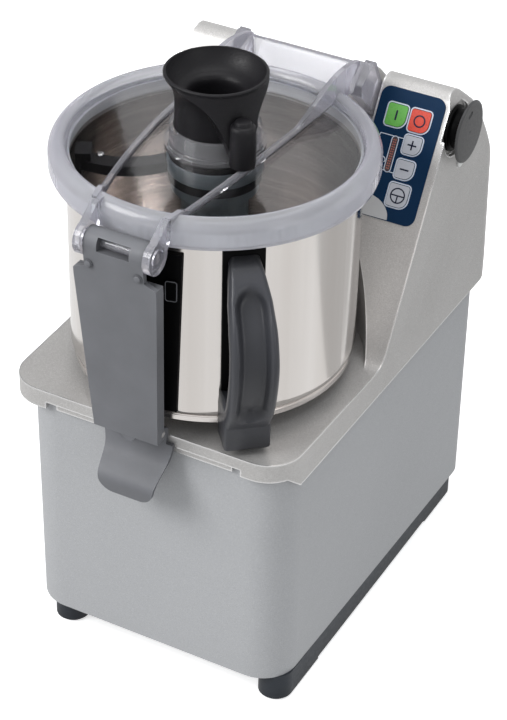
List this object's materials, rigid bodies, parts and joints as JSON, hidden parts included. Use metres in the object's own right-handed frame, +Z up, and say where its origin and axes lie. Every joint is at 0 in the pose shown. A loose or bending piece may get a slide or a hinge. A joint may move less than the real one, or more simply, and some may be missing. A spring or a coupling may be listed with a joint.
{
  "type": "bowl cutter",
  "caption": "Table-top bowl cutter with a steel bowl, clear hinged lid, feed funnel with scraper, front latch, cast cover with sloped key panel, and rail feet.",
  "frame": {"origin": "middle of the footprint, on the table", "axes": "+Z up, -Y to the front (latch side), +X to the right (hinge knob side)"},
  "size_m": [0.2596, 0.4004, 0.482],
  "materials": {
    "cast": "bead-blasted casting",
    "body_paint": "speckled silver-grey, satin",
    "slate": "slate, fine texture",
    "latch_grey": "mid grey, fine texture",
    "black": "black, fine texture",
    "steel": "polished, fine lines",
    "blade_steel": "ground",
    "dark_steel": "turned",
    "clear": "clear polycarbonate",
    "seal": "milky silicone",
    "frosted": "frosted blue-grey",
    "panel": "navy foil",
    "green": "green",
    "red": "red",
    "key_grey": "light grey",
    "light": "smoked red",
    "board": "green laminate",
    "copper": "enamelled copper",
    "white": "white",
    "bronze": "sintered",
    "rubber": "black",
    "iron": "machined"
  },
  "bodies": {
    "machine": {"top_cover": "cast", "body_housing": "body_paint", "base_plate": "dark_steel", "foot_rails": "slate", "foot_pads": "rubber", "base_screws": "dark_steel", "vent_grille": "slate", "cable_gland": "black", "bowl": "steel", "bowl_handle": "slate", "bowl_guide_bracket": "black", "magnet_pad": "black", "handle_rivets": "steel", "bracket_rivets": "steel", "handle_plate": "black", "motor_housing": "cast", "lower_end_shield": "cast", "upper_end_shield": "cast", "motor_tie_bolts": "dark_steel", "motor_feet": "rubber", "stator_core": "iron", "stator_windings": "copper", "lower_bearing": "steel", "upper_bearing": "steel", "shaft_seal": "rubber", "left_hinge_bush": "bronze", "right_hinge_bush": "bronze", "control_panel": "panel", "light_bar": "light", "key_switches": "white", "control_board": "board", "drive_inverter": "dark_steel", "side_plug": "white", "lid_switch": "black", "hinge_knob_base": "black"},
    "rotor": {"rotor_core": "iron", "drive_spindle": "steel", "blade_hub": "black", "lower_blade": "blade_steel", "upper_blade": "blade_steel", "blade_clamp_knob": "black"},
    "lid": {"lid": "clear", "lid_seal": "seal", "latch_pin": "clear"},
    "latch": {"latch_plate": "latch_grey", "tongue_pin": "steel"},
    "tongue": {"tongue_lever": "latch_grey"},
    "scraper": {"feed_funnel": "black", "scraper_hub": "black", "scraper_flange": "frosted", "scraper_arm": "black", "wiper_blade": "black", "wiper_rivet": "black"},
    "hinge_rod": {"hinge_rod": "steel", "hinge_knob_disc": "slate"},
    "start_key": {"start_key": "green"},
    "stop_key": {"stop_key": "red"},
    "plus_key": {"plus_key": "key_grey"},
    "minus_key": {"minus_key": "key_grey"},
    "pulse_key": {"pulse_key": "key_grey"}
  },
  "joints": [
    {"name": "lid_hinge", "type": "hinge", "parent": "machine", "child": "lid", "pos_m": [-0.00375, 0.10825, 0.391], "axis": [-1, 0, 0], "range_deg": [0, 95]},
    {"name": "latch_hinge", "type": "hinge", "parent": "lid", "child": "latch", "pos_m": [-0.00375, -0.18775, 0.406], "axis": [-1, 0, 0], "range_deg": [0, 100]},
    {"name": "tongue_hinge", "type": "hinge", "parent": "latch", "child": "tongue", "pos_m": [-0.00375, -0.17515, 0.246], "axis": [-1, 0, 0], "range_deg": [0, 25]},
    {"name": "scraper_turn", "type": "hinge", "parent": "lid", "child": "scraper", "pos_m": [-0.00375, -0.05275, 0.236], "axis": [0, 0, 1], "continuous": true},
    {"name": "blade_spin", "type": "hinge", "parent": "machine", "child": "rotor", "pos_m": [-0.00375, -0.05275, 0.236], "axis": [0, 0, 1], "continuous": true},
    {"name": "hinge_rod_slide", "type": "slide", "parent": "machine", "child": "hinge_rod", "axis": [1, 0, 0], "range_m": [0, 0.185]},
    {"name": "start_key_press", "type": "slide", "parent": "machine", "child": "start_key", "axis": [0, 0.8575, -0.5145], "range_m": [0, 0.0006], "stiffness_N_per_m": 900, "springref_m": -0.0006},
    {"name": "stop_key_press", "type": "slide", "parent": "machine", "child": "stop_key", "axis": [0, 0.8575, -0.5145], "range_m": [0, 0.0006], "stiffness_N_per_m": 900, "springref_m": -0.0006},
    {"name": "plus_key_press", "type": "slide", "parent": "machine", "child": "plus_key", "axis": [0, 0.8575, -0.5145], "range_m": [0, 0.0006], "stiffness_N_per_m": 900, "springref_m": -0.0006},
    {"name": "minus_key_press", "type": "slide", "parent": "machine", "child": "minus_key", "axis": [0, 0.8575, -0.5145], "range_m": [0, 0.0006], "stiffness_N_per_m": 900, "springref_m": -0.0006},
    {"name": "pulse_key_press", "type": "slide", "parent": "machine", "child": "pulse_key", "axis": [0, 0.8575, -0.5145], "range_m": [0, 0.0006], "stiffness_N_per_m": 900, "springref_m": -0.0006}
  ]
}
